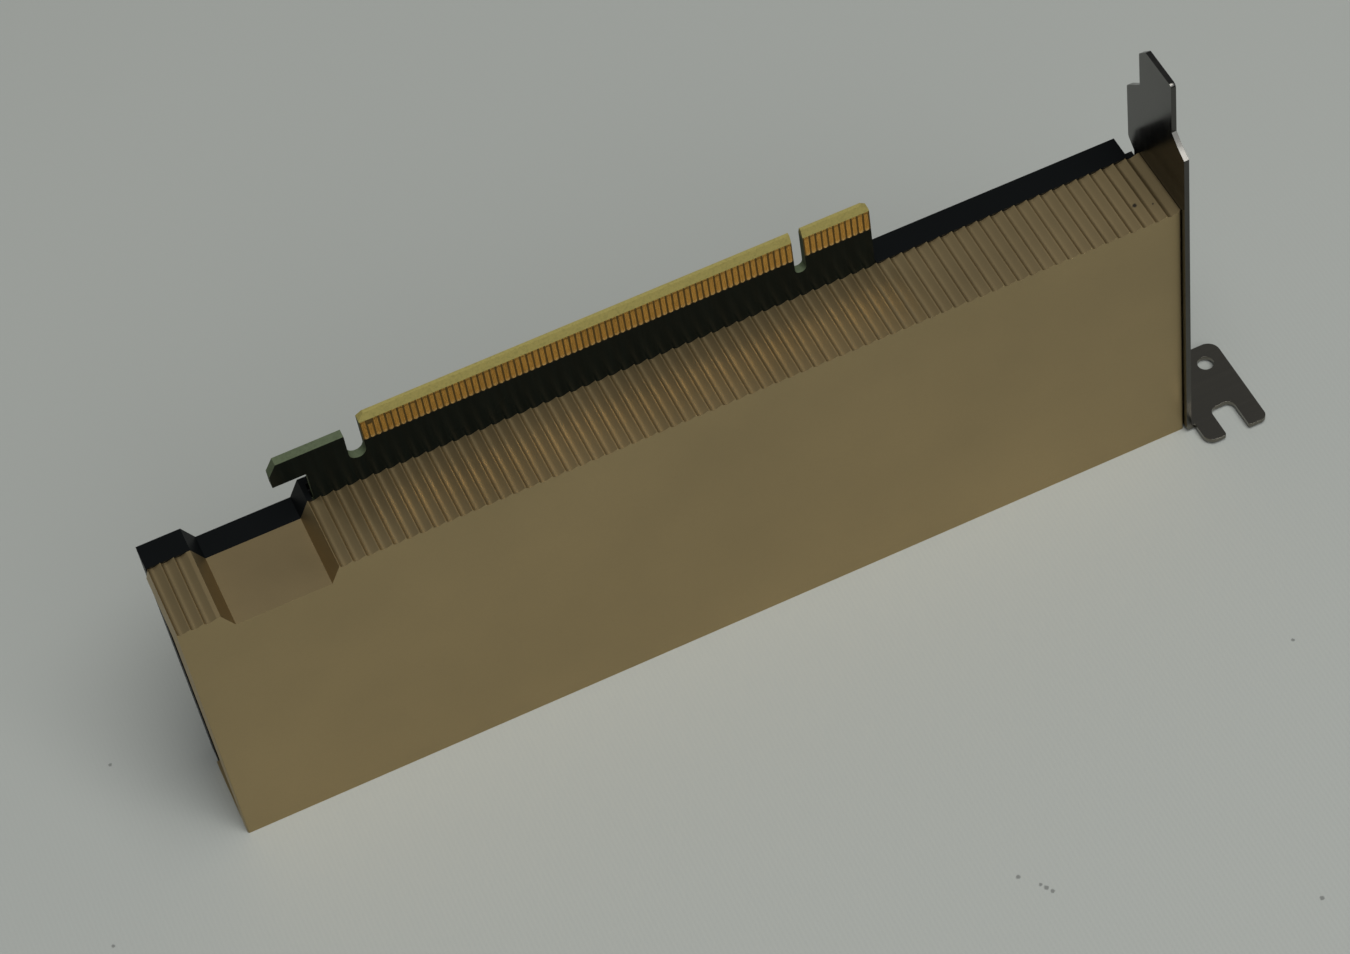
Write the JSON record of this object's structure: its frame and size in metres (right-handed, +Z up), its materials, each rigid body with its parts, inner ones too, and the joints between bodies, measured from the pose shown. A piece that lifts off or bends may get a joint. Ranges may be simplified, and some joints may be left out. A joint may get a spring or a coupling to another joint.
{
  "type": "passive accelerator card",
  "caption": "Low-profile passive accelerator card for a server slot, with a ribbed duct cover over a finned heat sink, an edge connector and a vented slot bracket.",
  "frame": {"origin": "on the surface the card stands on, under the middle of its overall box", "axes": "+X along the card from the open air inlet to the slot bracket, +Y from the cover's plain face to the back plate, +Z up to the edge connector and the bracket's tongue"},
  "size_m": [0.1804, 0.0238, 0.0806],
  "materials": {
    "cover": "satin champagne-gold anodised",
    "board": "semi-gloss dark solder mask",
    "gold": "gold plated",
    "substrate": "satin",
    "stiffener": "nickel plated",
    "silicon": "polished",
    "chip": "matt moulded",
    "ceramic": "satin",
    "inductor": "pressed powder",
    "can": "bright",
    "pad": "soft matt",
    "sink": "plain satin",
    "plate": "satin black anodised",
    "sheet": "satin",
    "bracket": "dark glossy nickel",
    "screw": "black oxide",
    "steel": "zinc plated"
  },
  "bodies": {
    "root": {"ribbed_cover": "cover", "circuit_board": "board", "contacts_front": "gold", "contacts_rear": "gold", "processor_substrate": "substrate", "processor_frame": "stiffener", "processor_die": "silicon", "memory_chips": "chip", "memory_pads": "pad", "power_inductors": "inductor", "bulk_capacitors": "can", "power_stages": "chip", "power_pad": "pad", "coupling_capacitors": "ceramic", "controllers": "chip", "rear_capacitors": "ceramic", "sink_base": "sink", "sink_fins": "sink", "back_plate": "plate", "insulating_sheet": "sheet", "slot_bracket": "bracket", "cover_screws": "screw", "sink_screws": "screw", "bracket_screws": "steel", "bracket_nuts": "steel"}
  },
  "joints": []
}
